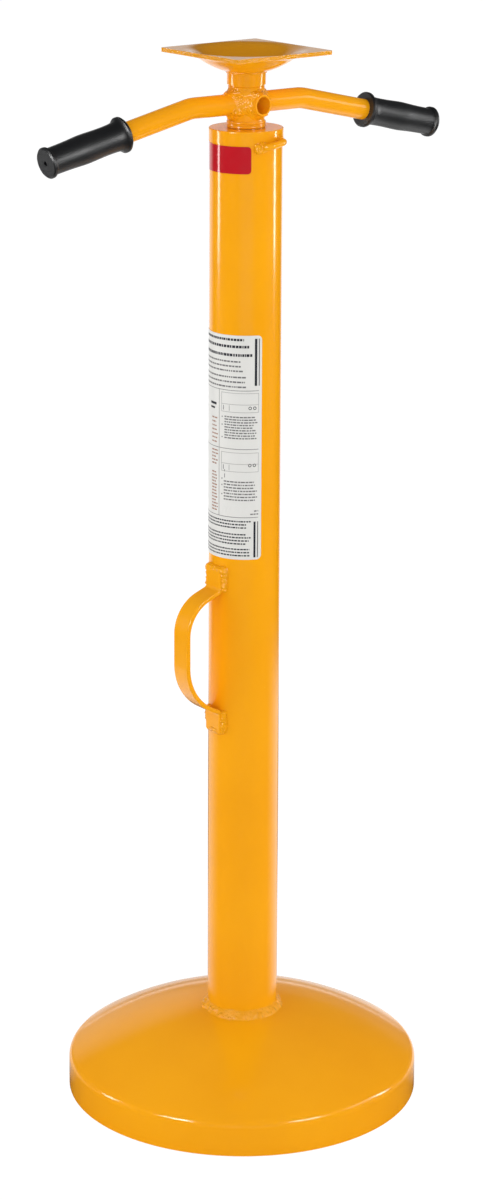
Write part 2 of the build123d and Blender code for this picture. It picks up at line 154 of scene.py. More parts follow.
def placeGroup(tree, group, values):
    return addNode(tree, "ShaderNodeGroup", values, node_tree=group)


def newMaterial(name):
    material = bpy.data.materials.new(name)
    material.use_nodes = True
    tree = material.node_tree
    tree.nodes.clear()
    shader = addNode(tree, "ShaderNodeBsdfPrincipled")
    output = addNode(tree, "ShaderNodeOutputMaterial")
    wire(tree, shader, "BSDF", output, "Surface")
    return material, tree, shader


def hue(red, green, blue):
    return (red, green, blue, 1)


# Shared effects, each built once


# Slow and fine noise in one place: the slow one shifts a colour, the fine one lifts the surface
# and varies its roughness between two values
def makeMottle():
    group, given, result = newGroup(
        "mottle",
        [
            ("Colour", colour, hue(0.5, 0.5, 0.5)),
            ("Other colour", colour, hue(0.4, 0.4, 0.4)),
            ("Slow scale", number, 9.0),
            ("Fine scale", number, 300.0),
            ("Height", number, 0.1),
            ("Smooth", number, 0.15),
            ("Rough", number, 0.25),
        ],
        [("Colour", colour), ("Roughness", number), ("Normal", vector)],
    )
    place = addNode(group, "ShaderNodeTexCoord")
    slow = addNode(group, "ShaderNodeTexNoise", {"Detail": 3.0, "Roughness": 0.5})
    fine = addNode(group, "ShaderNodeTexNoise", {"Detail": 2.0, "Roughness": 0.45})
    mix = addNode(group, "ShaderNodeMix", data_type="RGBA")
    shift = addNode(group, "ShaderNodeMapRange", {1: 0.35, 2: 0.65, 3: 0.0, 4: 1.0})
    polish = addNode(group, "ShaderNodeMapRange", {1: 0.3, 2: 0.7})
    bump = addNode(group, "ShaderNodeBump", {"Distance": mm})
    wire(group, place, "Object", slow, "Vector")
    wire(group, place, "Object", fine, "Vector")
    wire(group, given, "Slow scale", slow, "Scale")
    wire(group, given, "Fine scale", fine, "Scale")
    wire(group, slow, 0, shift, 0)
    wire(group, shift, 0, mix, 0)
    wire(group, given, "Colour", mix, 6)
    wire(group, given, "Other colour", mix, 7)
    wire(group, fine, 0, polish, 0)
    wire(group, given, "Smooth", polish, 3)
    wire(group, given, "Rough", polish, 4)
    wire(group, fine, 0, bump, "Height")
    wire(group, given, "Height", bump, "Strength")
    wire(group, mix, 2, result, "Colour")
    wire(group, polish, 0, result, "Roughness")
    wire(group, bump, 0, result, "Normal")
    return group


# Specks scattered on a surface: round spots, a share of the cells of a cell pattern
def makeSpecks():
    group, given, result = newGroup(
        "specks",
        [("Scale", number, 200.0), ("Size", number, 0.15), ("Share", number, 0.1)],
        [("Mask", number)],
    )
    place = addNode(group, "ShaderNodeTexCoord")
    cells = addNode(group, "ShaderNodeTexVoronoi")
    pick = addNode(group, "ShaderNodeSeparateColor")
    few = addNode(group, "ShaderNodeMath", operation="LESS_THAN")
    spot = addNode(group, "ShaderNodeMapRange", {1: 0.0, 3: 1.0, 4: 0.0})
    both = addNode(group, "ShaderNodeMath", operation="MULTIPLY")
    wire(group, place, "Object", cells, "Vector")
    wire(group, given, "Scale", cells, "Scale")
    wire(group, cells, "Color", pick, "Color")
    wire(group, pick, "Red", few, 0)
    wire(group, given, "Share", few, 1)
    wire(group, cells, "Distance", spot, 0)
    wire(group, given, "Size", spot, 2)
    wire(group, spot, 0, both, 0)
    wire(group, few, 0, both, 1)
    wire(group, both, 0, result, "Mask")
    return group


mottle = makeMottle()
specks = makeSpecks()

# Materials. The names with capitals are inputs of the two groups above, or of a Bump node.

enamelLook = {
    "paint": {
        "Colour": hue(0.90, 0.375, 0.005),
        "Other colour": hue(0.86, 0.345, 0.004),
        "Slow scale": 7.0,
    },
    "flat": {"Fine scale": 260.0, "Height": 0.05, "Smooth": 0.10, "Rough": 0.16},
    "bead": {"Fine scale": 620.0, "Height": 0.55, "Smooth": 0.07, "Rough": 0.15},
    "nib": hue(0.93, 0.45, 0.03),
    "nibs": {"Scale": 120.0, "Size": 0.09, "Share": 0.05},
    "nibBump": {"Strength": 0.5, "Distance": 0.15 * mm},
    "beadDents": {"scale": 330.0, "depth": 1.7 * mm, "edgesOnly": False},
    "edgeDents": {"scale": 280.0, "depth": 2.2 * mm, "edgesOnly": True},
}
rubberLook = {
    "skin": {
        "Colour": hue(0.0034, 0.0040, 0.0052),
        "Other colour": hue(0.0052, 0.0058, 0.0070),
        "Slow scale": 30.0,
        "Fine scale": 1500.0,
        "Height": 0.16,
        "Smooth": 0.36,
        "Rough": 0.46,
    },
    "dust": hue(0.04, 0.04, 0.04),
    "lint": {"Scale": 420.0, "Size": 0.12, "Share": 0.03},
    "sheen": 0.8,
}
steelLook = {
    "Colour": hue(0.40, 0.39, 0.37),
    "Other colour": hue(0.27, 0.25, 0.22),
    "Slow scale": 60.0,
    "Fine scale": 900.0,
    "Height": 0.12,
    "Smooth": 0.22,
    "Rough": 0.42,
}
filmLook = {
    "grain": {"Slow scale": 14.0, "Fine scale": 180.0, "Height": 0.05},
    "white": hue(0.700, 0.695, 0.668),
    "whiteOther": hue(0.675, 0.670, 0.642),
    "whiteShine": {"Smooth": 0.32, "Rough": 0.42},
    "red": hue(0.50, 0.012, 0.020),
    "redOther": hue(0.46, 0.010, 0.018),
    "redShine": {"Smooth": 0.08, "Rough": 0.14},
    "inkFade": 0.9,
    "inkShine": {"Smooth": 0.35, "Rough": 0.45},
}
inkLook = {
    "inkDark": hue(0.008, 0.009, 0.020),
    "inkGrey": hue(0.16, 0.155, 0.155),
    "inkRust": hue(0.36, 0.19, 0.13),
    "inkPale": hue(0.36, 0.355, 0.345),
}


# The mottle group over the whole of a shader
def coverShader(tree, shader, values):
    skin = placeGroup(tree, mottle, values)
    wire(tree, skin, "Colour", shader, "Base Color")
    wire(tree, skin, "Roughness", shader, "Roughness")
    wire(tree, skin, "Normal", shader, "Normal")
    return skin


# Specks of another colour, between a mottle and its shader
def scatterSpecks(tree, shader, skin, shade, values):
    spots = placeGroup(tree, specks, values)
    mix = addNode(tree, "ShaderNodeMix", {7: shade}, data_type="RGBA")
    wire(tree, spots, "Mask", mix, 0)
    wire(tree, skin, "Colour", mix, 6)
    wire(tree, mix, 2, shader, "Base Color")
    return spots


def makeEnamel(name, coat):
    look = enamelLook
    material, tree, shader = newMaterial(name)
    skin = coverShader(tree, shader, {**look["paint"], **coat})
    nibs = scatterSpecks(tree, shader, skin, look["nib"], look["nibs"])
    raised = addNode(tree, "ShaderNodeBump", look["nibBump"])
    wire(tree, nibs, "Mask", raised, "Height")
    wire(tree, skin, "Normal", raised, "Normal")
    wire(tree, raised, 0, shader, "Normal")
    return material


# Small sharp dents: on a sheet's sheared edges, which are its upright faces, or all over a weld
def roughen(material, scale, depth, edgesOnly):
    tree = material.node_tree
    shader = tree.nodes["Principled BSDF"]
    smooth = shader.inputs["Normal"].links[0].from_socket
    place = addNode(tree, "ShaderNodeTexCoord")
    parts = addNode(tree, "ShaderNodeSeparateXYZ")
    steep = addNode(tree, "ShaderNodeMath", operation="ABSOLUTE")
    mask = addNode(tree, "ShaderNodeMapRange", {1: 0.7, 2: 0.3, 3: 0.0 if edgesOnly else 1.0})
    dents = addNode(tree, "ShaderNodeTexNoise", {"Scale": scale, "Detail": 3.0, "Roughness": 0.6})
    height = addNode(tree, "ShaderNodeMath", operation="MULTIPLY")
    bump = addNode(tree, "ShaderNodeBump", {"Strength": 1.0, "Distance": depth})
    wire(tree, place, "Normal", parts, 0)
    wire(tree, parts, "Z", steep, 0)
    wire(tree, steep, 0, mask, 0)
    wire(tree, place, "Object", dents, "Vector")
    wire(tree, dents, 0, height, 0)
    wire(tree, mask, 0, height, 1)
    wire(tree, height, 0, bump, "Height")
    tree.links.new(smooth, bump.inputs["Normal"])
    wire(tree, bump, 0, shader, "Normal")


def makeRubber(look):
    material, tree, shader = newMaterial("gripRubber")
    skin = coverShader(tree, shader, look["skin"])
    scatterSpecks(tree, shader, skin, look["dust"], look["lint"])
    shader.inputs["Specular IOR Level"].default_value = look["sheen"]
    return material


def makeSteel(look):
    material, tree, shader = newMaterial("oiledSteel")
    shader.inputs["Metallic"].default_value = 1.0
    coverShader(tree, shader, look)
    return material


def makeFilm(name, base, other, shine):
    material, tree, shader = newMaterial(name)
    values = {"Colour": base, "Other colour": other, **filmLook["grain"], **shine}
    coverShader(tree, shader, values)
    return material


def makeInk(name, shade):
    faded = hue(*(filmLook["inkFade"] * part for part in shade[:3]))
    return makeFilm(name, shade, faded, filmLook["inkShine"])


enamel = makeEnamel("yellowEnamel", enamelLook["flat"])
beadEnamel = makeEnamel("beadEnamel", enamelLook["bead"])
roughen(beadEnamel, **enamelLook["beadDents"])
sheared = makeEnamel("shearedEnamel", enamelLook["flat"])
roughen(sheared, **enamelLook["edgeDents"])
rubber = makeRubber(rubberLook)
steel = makeSteel(steelLook)
labelFilm = makeFilm("labelFilm", filmLook["white"], filmLook["whiteOther"], filmLook["whiteShine"])
redFilm = makeFilm("redFilm", filmLook["red"], filmLook["redOther"], filmLook["redShine"])
inks = {name: makeInk(name, shade) for name, shade in inkLook.items()}

nodeFinish = {
    "yellow_paint": enamel,
    "black_rubber": rubber,
    "label_film": labelFilm,
    "red_film": redFilm,
    "bare_steel": steel,
}
slotOf = {part["node"]: part["material_slot"] for part in frame["record"]["subparts"]}
for nodeName, item in frame["nodes"].items():
    item.data.materials.clear()
    item.data.materials.append(sheared if nodeName == "top_plate" else nodeFinish[slotOf[nodeName]])
print("materials:", len(bpy.data.materials))

# Mesh helpers

weldGap = 2e-6


# Quads of a grid of points, rows by columns, closed round either way where asked
def gridQuads(rows, columns, closeRows=False, closeColumns=False):
    r = np.arange(rows if closeRows else rows - 1)[:, None]
    c = np.arange(columns if closeColumns else columns - 1)[None, :]
    nextRow, nextColumn = (r + 1) % rows, (c + 1) % columns
    corners = (
        r * columns + c,
        nextRow * columns + c,
        nextRow * columns + nextColumn,
        r * columns + nextColumn,
    )
    return np.stack(corners, -1).reshape(-1, 4)


# Puts several grids of points into one numbering
def joined(parts):
    starts = np.cumsum([0] + [len(points) for points, quads in parts[:-1]])
    points = np.vstack([points for points, quads in parts])
    return points, np.vstack([quads + start for (_, quads), start in zip(parts, starts)])


# Six times the volume inside is the sum over triangles of a . (b x c): where it comes out below
# nothing, the faces look inwards and are turned round
def outward(points, quads):
    a, b, c, d = (points[quads[:, k]] for k in range(4))
    volume = np.einsum("ij,ij->i", a, np.cross(b, c) + np.cross(c, d)).sum()
    return points, quads if volume > 0 else quads[:, ::-1]


def addPiece(name, shells, material, body, replaced=(), sharp=38):
    points, quads = joined([outward(*shell) for shell in shells])
    keys = np.round(points / weldGap).astype(np.int64)
    _, first, back = np.unique(keys, axis=0, return_index=True, return_inverse=True)
    quads = back.reshape(-1)[quads]
    # A face that two shells share lies inside the piece, so both copies are left out
    _, kind, copies = np.unique(np.sort(quads, 1), axis=0, return_inverse=True, return_counts=True)
    quads = quads[copies[kind.reshape(-1)] == 1]
    repeated = quads == np.roll(quads, 1, axis=1)
    count = repeated.sum(1)
    thin = count == 1
    triangles = quads[thin][~repeated[thin]].reshape(-1, 3)
    mesh = bpy.data.meshes.new(name)
    mesh.from_pydata(points[first].tolist(), [], quads[count == 0].tolist() + triangles.tolist())
    mesh.polygons.foreach_set("use_smooth", np.ones(len(mesh.polygons), bool))
    mesh.set_sharp_from_angle(angle=math.radians(sharp))
    mesh.materials.append(material)
    piece = bpy.data.objects.new(name, mesh)
    bpy.context.scene.collection.objects.link(piece)
    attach(piece, body)
    if replaced:
        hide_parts(*replaced)
    print("piece", name, len(mesh.polygons), "faces")


# A profile of (radius, height) points turned about the column's axis through the given angles
def lathe(profile, angles):
    radius, height = np.array(profile, float).T
    x = radius[:, None] * np.cos(angles)
    y = radius[:, None] * np.sin(angles)
    z = np.broadcast_to(height[:, None], x.shape)
    points = np.stack([x, y, z], -1).reshape(-1, 3)
    return points, gridQuads(len(radius), len(angles), closeColumns=True)


def normalised(rows):
    return rows / np.linalg.norm(rows, axis=-1, keepdims=True)


# Weld beads

beadLook = {
    "pitch": 3.1 * mm,
    "scallop": 0.09,
    "middle": 0.6,
    "lump": 0.20,
    "waves": (2, 3, 5, 8, 13),  # of the lumps, along the whole bead
    "bow": 0.9,
    "section": 24,
    "sharp": 60,  # degrees: a steeper edge is shaded as an edge
}


# A weld bead: a round section carried along a path. Its radius is r * (1 + scallop * (|sin| of the
# distance run over the pitch, drawn back at the bead's crest, less its middle value) + lump * a sum
# of slow sines). On an open path the last radius at each end follows a quarter circle to a point.
def beadShell(path, outwards, radius, closed, seed):
    step = np.roll(path, -1, 0) - np.roll(path, 1, 0) if closed else np.gradient(path, axis=0)
    tangent = normalised(step)
    side = normalised(np.cross(tangent, outwards))
    rise = np.cross(side, tangent)
    gaps = np.linalg.norm(np.diff(path, axis=0), axis=1)
    run = np.concatenate([[0], np.cumsum(gaps)])
    total = run[-1] + (np.linalg.norm(path[0] - path[-1]) if closed else 0)
    share = run / total
    around = np.linspace(0, 2 * math.pi, beadLook["section"], endpoint=False)
    puddles = max(2, round(total / beadLook["pitch"]))
    phase = math.pi * puddles * share[:, None] + beadLook["bow"] * np.cos(around)
    chance = np.random.default_rng(seed)
    slow = sum(
        chance.uniform(0.3, 1) * np.sin(2 * math.pi * turns * share + chance.uniform(0, 6.3))
        for turns in beadLook["waves"]
    ) / 2
    swell = beadLook["scallop"] * (np.abs(np.sin(phase)) - beadLook["middle"])
    size = radius * (1 + swell + beadLook["lump"] * slow[:, None])
    if not closed:
        left = np.clip(np.minimum(run, total - run) / radius, 0, 1)
        size = size * np.sqrt(1 - (1 - left) ** 2)[:, None]
    points = (
        path[:, None]
        + size[..., None] * np.cos(around)[:, None] * rise[:, None]
        + size[..., None] * np.sin(around)[:, None] * side[:, None]
    )
    return points.reshape(-1, 3), gridQuads(len(path), len(around), closed, True)


# A ring about the column's axis, for a bead in the corner below what flares out
def ringPath(radius, height, steps):
    angle = np.linspace(0, 2 * math.pi, steps, endpoint=False)
    path = np.stack([radius * np.cos(angle), radius * np.sin(angle), np.full(steps, height)], -1)
    return path, np.stack([np.cos(angle), np.sin(angle), np.full(steps, -1.0)], -1)


# Up one side of the strap's foot, round its end and down the other side, on the column
def footPath(w, endZ, bendZ):
    half, corner, steps = strapHigh[1] + w["clear"], w["corner"], w["steps"]
    turn = np.linspace(0, math.pi / 2, steps // 6)
    sign = 1 if endZ > bendZ else -1
    leg = np.linspace(bendZ, endZ - sign * corner, steps // 3)
    side = np.concatenate([np.full(len(leg), half), half - corner + corner * np.cos(turn)])
    up = np.concatenate([leg, endZ - sign * corner + sign * corner * np.sin(turn)])
    middle = np.linspace(half - corner, corner - half, steps // 3)[1:-1]
    across = np.concatenate([side, middle, -side[::-1]])
    height = np.concatenate([up, np.full(len(middle), endZ), up[::-1]])
    depth = -np.sqrt(columnRadius**2 - across**2)
    path = np.stack([depth, across, height], -1)
    return path, normalised(np.stack([depth, across, 0 * depth], -1))


welds = {
    "socket": {"radius": 1.2 * mm, "rise": 1.2 * mm, "steps": 420, "seed": 2},
    "handle": {
        "radius": 4.2 * mm,
        "inset": 6 * mm,  # from the CAD weld's end
        "foot": 24 * mm,
        "clear": 0.6 * mm,  # beside the strap
        "corner": 3.0 * mm,
        "steps": 300,
        "seeds": (7, 8),
    },
}


def addWeld(name, shells, body, replaced):
    addPiece(name, shells, beadEnamel, body, replaced, beadLook["sharp"])


def addSocketBead(w):
    path, away = ringPath(socketHigh[0], socketWeldLow[2] + w["rise"], w["steps"])
    shell = beadShell(path, away, w["radius"], True, w["seed"])
    addWeld("socketWeldBead", [shell], "head", ["socket_weld"])


def addHandleBeads(w):
    high, low = handleWeldHigh[2] - w["inset"], handleWeldLow[2] + w["inset"]
    shells = []
    for seed, endZ, bendZ in zip(w["seeds"], (high, low), (high - w["foot"], low + w["foot"])):
        path, away = footPath(w, endZ, bendZ)
        shells.append(beadShell(path, away, w["radius"], False, seed))
    addWeld("handleWeldBeads", shells, "stand", ["handle_welds"])


addSocketBead(welds["socket"])
addHandleBeads(welds["handle"])

# Fillets of weld, poured and lumpy

hubWeld = {
    # azimuth, width on the hub, leg along the tube, how far the skin goes on inside the tube
    "tubes": [
        (0.0, 7.2 * mm, 6.4 * mm, 6.0 * mm),
        (180.0, 7.2 * mm, 6.4 * mm, 6.0 * mm),
        (crossAzimuth, 5.6 * mm, 5.0 * mm, 1.2 * mm),
        (crossAzimuth - 180, 5.6 * mm, 5.0 * mm, 1.2 * mm),
    ],
    "sunk": 0.2 * mm,
    "power": 1.25,
    "fade": 2.0 * mm,  # over which a move or a hill dies away
    "least": 0.02 * mm,  # a smaller move leaves no skin
    "reach": 18.3 * mm,
    "rows": 150,
    "columns": 560,
    "hills": {"count": 220, "radius": 1.8 * mm, "height": 2.8 * mm, "seed": 5},
}
baseWeld = {
    "reach": 7.4 * mm,
    "more": 3.2 * mm,
    "tall": 8.5 * mm,
    "bulge": 0.5 * mm,
    "sunk": 1.2 * mm,
    "inside": 0.4 * mm,
    "curve": 1.15,
    "reachWave": 0.25 * mm,
    "reachWaves": ((5, 1.0), (9, 2.4), (14, 0.0)),  # waves round the column, phase
    "tallWaves": ((0.35 * mm, 7, 0.6), (0.3 * mm, 12, 0.0)),  # size, waves, phase
    "hillShare": 0.7,
    "hillSpan": 1.3,  # of the height
    "hillPower": 0.7,
    "rows": 60,
    "columns": 720,
    "hills": {"count": 220, "radius": 2.2 * mm, "height": 1.6 * mm, "seed": 9},
}


# Sum of round hills at random places on an unrolled surface as long as the given girth: each
# falls off as e to the minus (distance over radius) squared, and has its own height
def hillField(run, height, girth, h):
    chance = np.random.default_rng(h["seed"])
    total = np.zeros(np.broadcast(run, height).shape)
    for _ in range(h["count"]):
        middle = chance.uniform(0, girth)
        level = chance.uniform(height.min(), height.max())
        wide = h["radius"] * chance.uniform(0.5, 1.2)
        aside = (run - middle + girth / 2) % girth - girth / 2
        size = chance.uniform(-0.5, 1) * h["height"]
        total += size * np.exp(-(aside**2 + (height - level) ** 2) / wide**2)
    return total


# The hub's side with each place moved along the tube beside it by leg * (1 - distance to the tube
# over width) to a power, full inside the tube's wall. Between two tubes both moves are added, each
# fading to nothing at the other tube. What lies off the weld or inside a tube is left out.
def hubWeldShell(w):
    angle = np.linspace(0, 2 * math.pi, w["columns"], endpoint=False)[None, :]
    level = np.linspace(-w["reach"], w["reach"], w["rows"])[:, None]
    radius = screwRadius - w["sunk"]
    x, y = radius * np.cos(angle), radius * np.sin(angle)
    gaps, legs, kept = [], [], True
    for azimuth, width, leg, inside in w["tubes"]:
        c, s = math.cos(math.radians(azimuth)), math.sin(math.radians(azimuth))
        gap = np.hypot(y * c - x * s, level) - armRadius
        gap = np.where(x * c + y * s > 0, gap, 1.0)
        gaps.append(gap)
        legs.append(leg * np.clip(1 - gap / width, 0, 1) ** w["power"])
        kept = kept & (gap > -inside)
    moveX, moveY, moved = 0, 0, 0
    for k, (azimuth, *_) in enumerate(w["tubes"]):
        size = legs[k]
        for other, gap in enumerate(gaps):
            if other != k:
                near = np.clip(gap / w["fade"], 0, 1)
                size = size * near * near * (3 - 2 * near)
        moveX = moveX + size * math.cos(math.radians(azimuth))
        moveY = moveY + size * math.sin(math.radians(azimuth))
        moved = moved + size
    hills = hillField(radius * angle, level, 2 * math.pi * radius, w["hills"])
    hub = radius + hills * np.clip(moved / w["fade"], 0, 1)
    x, y = hub * np.cos(angle) + moveX, hub * np.sin(angle) + moveY
    points = np.stack([x, y, np.broadcast_to(armAxisZ + level, x.shape)], -1).reshape(-1, 3)
    quads = gridQuads(w["rows"], w["columns"], closeColumns=True)
    there = kept.reshape(-1)[quads].all(1) & (moved.reshape(-1)[quads] > w["least"]).any(1)
    used, back = np.unique(quads[there], return_inverse=True)
    return points[used], back.reshape(-1, 4)


# A fillet from the column out to the base: height falls as the radius grows, with a slight bulge,
# slow sines in its reach, hills, and more metal at the front
def baseWeldShell(w):
    angle = np.linspace(0, 2 * math.pi, w["columns"], endpoint=False)[None, :]
    share = np.linspace(0, 1, w["rows"])[:, None]
    front = np.clip(np.cos(angle - math.radians(camera["azimuth"])), 0, 1) ** 2
    slow = sum(np.sin(waves * angle + phase) for waves, phase in w["reachWaves"])
    reach = w["reach"] + w["more"] * front + w["reachWave"] * slow
    tall = w["tall"]
    for size, waves, phase in w["tallWaves"]:
        tall = tall + size * np.sin(waves * angle + phase)
    run, girth = columnRadius * angle, 2 * math.pi * columnRadius
    hills = hillField(run, share * w["tall"] * w["hillSpan"], girth, w["hills"])
    hills = w["hillShare"] * (hills + w["bulge"]) * np.sin(math.pi * share) ** w["hillPower"]
    radius = columnRadius - w["inside"] + reach * share + hills
    height = baseWeldLow[2] - w["sunk"] + tall * (1 - share) ** w["curve"] + hills
    points = np.stack([radius * np.cos(angle), radius * np.sin(angle), height], -1)
    return points.reshape(-1, 3), gridQuads(w["rows"], w["columns"], closeColumns=True)


addWeld("hubWeld", [hubWeldShell(hubWeld)], "spindle", ["arm_welds", "cross_tube_welds"])
addWeld("baseWeld", [baseWeldShell(baseWeld)], "stand", ["base_weld"])

# Tether loop's blobs of weld

tether = {
    "azimuth": 278.0,
    "halfSpan": 12 * mm,
    "drop": 5.6 * mm,  # below the column's top
    "rise": 8.0,  # degrees, outwards
    "tilt": 9.0,  # degrees, sideways
    "rows": 40,
    "columns": 60,
    "lumps": ((3, 0.08), (5, 0.08), (9, 0.05), (14, 0.035), (19, 0.02)),  # waves and height
    "blobs": ((11, -1, 6.6 * mm), (12, 1, 6.2 * mm), (13, -1.45, 5.0 * mm)),  # seed, side, radius
}


# A lumpy ball: the radius is r * (1 + a sum of sines of the direction's own x, y and z)
def blobShell(t, centre, radius, seed):
    polar = np.linspace(0, math.pi, t["rows"])[:, None]
    turn = np.linspace(0, 2 * math.pi, t["columns"], endpoint=False)[None, :]
    direction = np.stack(
        [np.sin(polar) * np.cos(turn), np.sin(polar) * np.sin(turn), np.cos(polar) + 0 * turn], -1
    )
    chance = np.random.default_rng(seed)
    lump = 0
    for times, height in t["lumps"]:
        axis = normalised(chance.normal(size=3))
        lump = lump + height * np.sin(times * direction @ axis + chance.uniform(0, 6.3))
    points = centre + radius * (1 + lump)[..., None] * direction
    return points.reshape(-1, 3), gridQuads(t["rows"], t["columns"], closeColumns=True)


def addTetherBlobs(t):
    turn = Matrix.Rotation(math.radians(t["azimuth"]), 3, "Z")
    turn = turn @ Matrix.Rotation(math.radians(-t["rise"]), 3, "Y")
    turn = np.array(turn @ Matrix.Rotation(math.radians(t["tilt"]), 3, "X"))
    out, across = turn[:, 0], turn[:, 1]
    reach = math.sqrt(columnRadius**2 - t["halfSpan"] ** 2)
    middle = np.array([0, 0, columnHigh[2] - t["drop"]])
    shells = [
        blobShell(t, middle + reach * out + side * t["halfSpan"] * across, radius, seed)
        for seed, side, radius in t["blobs"]
    ]
    addWeld("tetherBlobs", shells, "stand", ["tether_loop_welds"])


addTetherBlobs(tether)

# Lifting screw: an oiled threaded rod under a painted hub

thread = {
    "lead": 6.35 * mm,
    "depth": 3.3 * mm,
    "crest": 2.35 * mm,
    "flank": 0.86 * mm,
    "steps": 64,  # along one turn
    "endRadius": 16.0 * mm,
    "bevel": 1.0,  # rise of radius for each step of height at the end
    "boltRadius": 5.0 * mm,
    "sharp": 30,
}


# The screw's surface: along the thread the height rises by one lead a turn, and across it the
# radius follows crest, flank, root, flank. Heights are held between the two ends, where the radius
# is cut by a cone below and filled by a cone above, so that each end is a plain circle.
def threadShell(t, low, high):
    lead, crest, flank = t["lead"], t["crest"], t["flank"]
    turns = math.ceil((high - low) / lead) + 2
    angle = np.arange(turns * t["steps"] + 1) * 2 * math.pi / t["steps"]
    inner = screwRadius - t["depth"]
    across = np.array([0, crest, crest + flank, lead - flank, lead])
    profile = np.array([screwRadius, screwRadius, inner, inner, screwRadius])
    height = low - lead + lead * angle[:, None] / (2 * math.pi) + across[None, :]
    held = np.clip(height, low, high)
    radius = np.minimum(profile[None, :], t["endRadius"] + (held - low) * t["bevel"])
    radius = np.maximum(radius, screwRadius - (high - held) * t["bevel"])
    points = np.stack([radius * np.cos(angle)[:, None], radius * np.sin(angle)[:, None], held], -1)
    ring = angle[: t["steps"]]
    hole, floorZ = t["boltRadius"], boltHigh[2]
    bottom = lathe([(t["endRadius"], low), (hole, low), (hole, floorZ), (0, floorZ)], ring)
    top = lathe([(0, high), (screwRadius, high)], ring)
    side = points.reshape(-1, 3), gridQuads(len(angle), len(across))[:, ::-1]
    return joined([side, (bottom[0], bottom[1][:, ::-1]), (top[0], top[1][:, ::-1])])


hub = {
    "bore": 11.1 * mm,
    "studRadius": 12.7 * mm,
    "grooveDepth": 1.6 * mm,
    "grooveWidth": 3.4 * mm,
    "edge": 0.5 * mm,
    "sideSteps": 72,
    "endSteps": 40,
    "fill": 14,  # rows from the hole's rim to the patch's edge
    "boreRows": 9,
    "sharp": 35,
    # A small pit in the paint above the bore
    "pitAngle": -43.0,  # degrees from the bore's own axis towards -X
    "pitHeight": 1103.6 * mm,
    "pitRadius": 0.8 * mm,
    "pitDepth": 0.7 * mm,
}


# The hub with the cross tube's hole. On the unrolled half of the bar each point runs from the
# hole's rim to the patch's edge at the same angle about the hole, and is then rolled up again.
def hubShell(h, low, high):
    half = math.pi / 2 * screwRadius
    up, down = high - h["edge"] - armAxisZ, low - armAxisZ
    along = np.linspace(-half, half, h["sideSteps"] + 1)
    ends = np.linspace(down, up, h["endSteps"] + 1)
    rim = np.concatenate([
        np.stack([along[:-1], np.full(h["sideSteps"], down)], -1),
        np.stack([np.full(h["endSteps"], half), ends[:-1]], -1),
        np.stack([along[:0:-1], np.full(h["sideSteps"], up)], -1),
        np.stack([np.full(h["endSteps"], -half), ends[:0:-1]], -1),
    ])
    turn = np.arctan2(rim[:, 1], rim[:, 0])
    holeX, holeZ = h["bore"] * np.cos(turn), h["bore"] * np.sin(turn)
    hole = np.stack([screwRadius * np.arcsin(holeX / screwRadius), holeZ], -1)
    share = np.linspace(0, 1, h["fill"])[:, None, None]
    flat = hole + (rim - hole) * share
    roll, height = flat[..., 0] / screwRadius, armAxisZ + flat[..., 1]
    shells = []
    quads = gridQuads(h["fill"], len(rim), closeColumns=True)
    for azimuth, pitDepth in ((crossAzimuth, h["pitDepth"]), (crossAzimuth - 180, 0)):
        aside = (roll - math.radians(h["pitAngle"])) * screwRadius
        pit = np.exp(-(aside**2 + (height - h["pitHeight"]) ** 2) / h["pitRadius"] ** 2)
        radius = screwRadius - pitDepth * pit
        angle = math.radians(azimuth) + roll
        x, y = radius * np.cos(angle), radius * np.sin(angle)
        shells.append((np.stack([x, y, height], -1).reshape(-1, 3), quads))
    depth = np.sqrt(screwRadius**2 - holeX**2)
    lengthwise = np.linspace(-1, 1, h["boreRows"])[:, None] * depth
    c, s = math.cos(math.radians(crossAzimuth)), math.sin(math.radians(crossAzimuth))
    boreX, boreY = c * lengthwise - s * holeX, s * lengthwise + c * holeX
    bore = np.stack([boreX, boreY, armAxisZ + holeZ + 0 * lengthwise], -1)
    quads = gridQuads(h["boreRows"], len(rim), closeColumns=True)
    shells.append((bore.reshape(-1, 3), quads[:, ::-1]))
    inner = h["studRadius"] - h["grooveDepth"]
    grooveLow, grooveHigh = pinMiddle - h["grooveWidth"] / 2, pinMiddle + h["grooveWidth"] / 2
    girth = np.concatenate([along[:-1], along[:-1] + 2 * half])
    angles = math.radians(crossAzimuth) + girth / screwRadius
    top = [
        (screwRadius, high - h["edge"]), (screwRadius - h["edge"], high), (h["studRadius"], high),
        (h["studRadius"], grooveLow), (inner, grooveLow), (inner, grooveHigh),
        (h["studRadius"], grooveHigh), (h["studRadius"], screwHigh[2]), (0, screwHigh[2]),
    ]
    points, quads = lathe(top, angles)
    shells.append((points, quads[:, ::-1]))
    points, quads = lathe([(0, low), (screwRadius, low)], angles)
    shells.append((points, quads[:, ::-1]))
    return joined(shells)


rod = threadShell(thread, screwLow[2], collarLow[2])
bar = hubShell(hub, collarLow[2], washerLow[2])
addPiece("threadedRod", [rod], steel, "spindle", ["lift_screw"], thread["sharp"])
addPiece("hubBar", [bar], enamel, "spindle", ["lift_screw"], hub["sharp"])

# Label print: plain bars, boxes and rings of ink on the label, with no words. Azimuths are in
# degrees, and heights are given as drops below the label's top, in millimetres.

